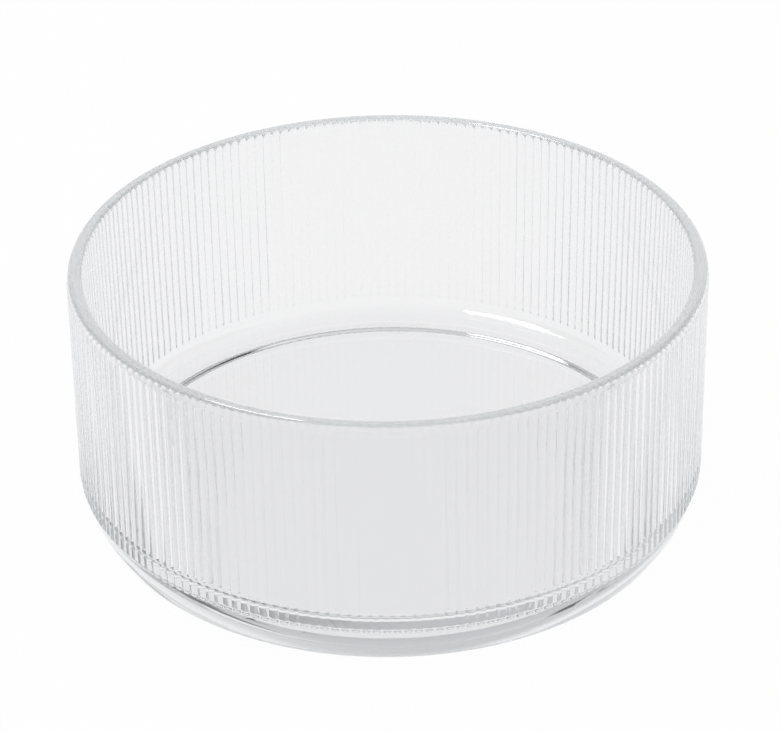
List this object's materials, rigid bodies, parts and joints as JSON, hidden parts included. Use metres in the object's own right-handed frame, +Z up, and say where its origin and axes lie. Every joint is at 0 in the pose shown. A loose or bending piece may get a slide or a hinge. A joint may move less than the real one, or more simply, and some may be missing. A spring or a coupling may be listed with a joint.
{
  "type": "serving bowl",
  "caption": "Round clear-glass serving bowl with a straight wall, fine upright ribs outside, a smooth inside and a low ring foot.",
  "frame": {"origin": "middle of the ring face that the bowl stands on", "axes": "+Z up along the bowl's axis of revolution; X and Y are alike"},
  "size_m": [0.2, 0.2, 0.0865],
  "materials": {
    "glass": "clear soda-lime glass, moulded in one piece and fire-polished, faint blue-grey tint in the thick edges"
  },
  "bodies": {
    "root": {"bowl": "glass"}
  },
  "joints": []
}
